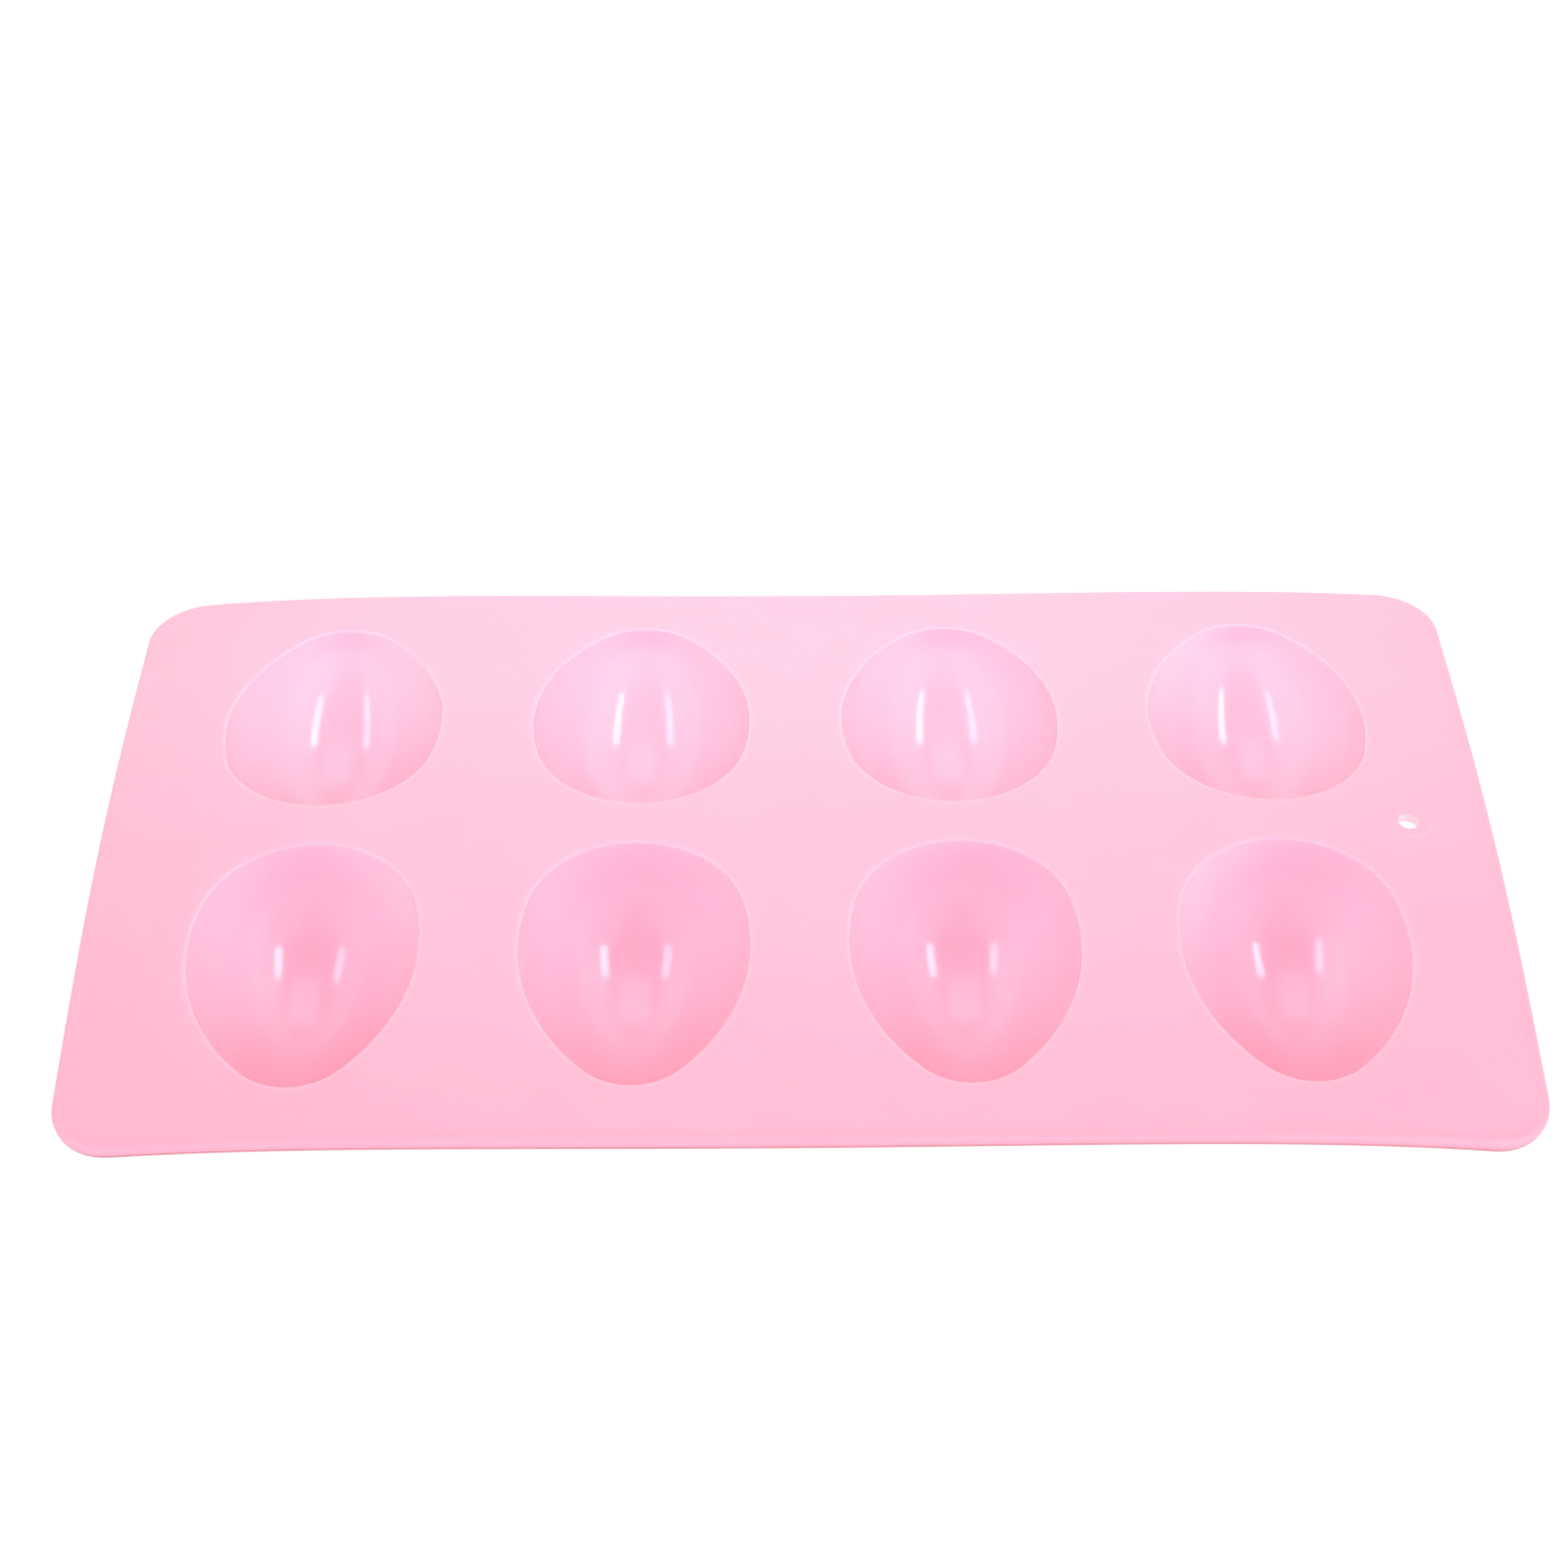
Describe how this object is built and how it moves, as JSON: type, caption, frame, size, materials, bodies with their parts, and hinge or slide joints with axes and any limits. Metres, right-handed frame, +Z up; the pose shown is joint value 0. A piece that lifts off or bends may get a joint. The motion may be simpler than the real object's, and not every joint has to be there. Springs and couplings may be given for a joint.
{
  "type": "silicone soap mould",
  "caption": "Flexible one-piece silicone tray mould with rows of half-egg cavities, a beaded edge and a hanging hole; it stands on the crowns of its cavity cups.",
  "frame": {"origin": "centre of the footprint, on the surface that the cavity crowns stand on", "axes": "+X along the rows of cavities towards the hanging hole, +Y towards the back row, +Z up out of the open cavities"},
  "size_m": [0.3, 0.175, 0.026],
  "materials": {
    "silicone": "smooth translucent pink silicone rubber, satin with soft gloss"
  },
  "bodies": {
    "root": {"tray_sheet": "silicone", "edge_bead": "silicone", "hang_eyelet": "silicone", "cavity_cup_front_1": "silicone", "cavity_cup_front_2": "silicone", "cavity_cup_front_3": "silicone", "cavity_cup_front_4": "silicone", "cavity_cup_back_1": "silicone", "cavity_cup_back_2": "silicone", "cavity_cup_back_3": "silicone", "cavity_cup_back_4": "silicone"}
  },
  "joints": []
}
